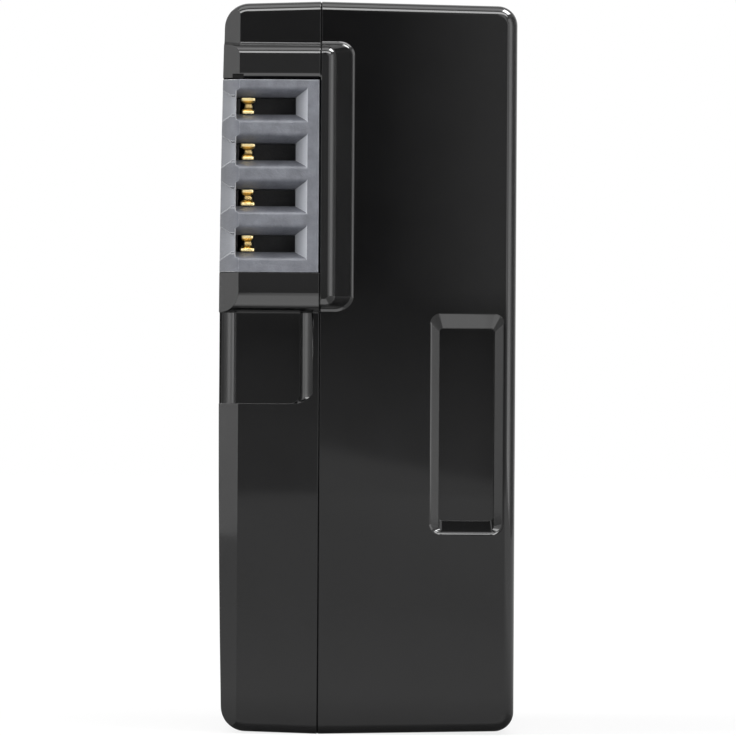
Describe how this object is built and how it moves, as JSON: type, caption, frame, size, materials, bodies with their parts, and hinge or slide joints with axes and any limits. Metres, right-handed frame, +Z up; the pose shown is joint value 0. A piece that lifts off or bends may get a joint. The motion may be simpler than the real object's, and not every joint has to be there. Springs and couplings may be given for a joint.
{
  "type": "camera battery",
  "caption": "Rechargeable camera battery pack with black moulded shells, a grey corner terminal block with slotted fork contacts, a latch pocket and a long groove.",
  "frame": {"origin": "middle of the outer box, on the surface that the pack stands on", "axes": "+Z up the pack, +Y away from the terminal side, +X from the cover's face to the case's outer face"},
  "size_m": [0.0228, 0.0412, 0.056],
  "materials": {
    "shell_black": "glossy black moulding",
    "block_grey": "matt grey moulding",
    "contact_gold": "gold plated",
    "board_green": "solder-masked board",
    "chip_black": "moulded epoxy",
    "small_part": "fired ceramic with plated ends",
    "insulating_sheet": "pressed insulating paper",
    "cell_can": "drawn can",
    "tape_white": "double-sided tape",
    "foam_grey": "closed-cell foam",
    "nickel_strip": "rolled nickel"
  },
  "bodies": {
    "root": {"case": "shell_black", "cover": "shell_black", "terminal_block": "block_grey", "fork_contact_1": "contact_gold", "fork_contact_2": "contact_gold", "fork_contact_3": "contact_gold", "fork_contact_4": "contact_gold", "circuit_board": "board_green", "protection_chip": "chip_black", "switch_chip": "chip_black", "sense_resistor": "small_part", "thermistor": "small_part", "fuse": "small_part", "capacitor": "small_part", "board_insulator": "insulating_sheet", "cell_cover_side": "cell_can", "cell_case_side": "cell_can", "cell_tape": "tape_white", "case_pad": "tape_white", "cover_pad": "tape_white", "base_cushion": "foam_grey", "top_cushion": "foam_grey", "cap_insulator": "insulating_sheet", "negative_tab": "nickel_strip", "positive_tab": "nickel_strip", "series_link": "nickel_strip", "sense_tab": "nickel_strip", "thermal_cutoff": "chip_black"}
  },
  "joints": []
}
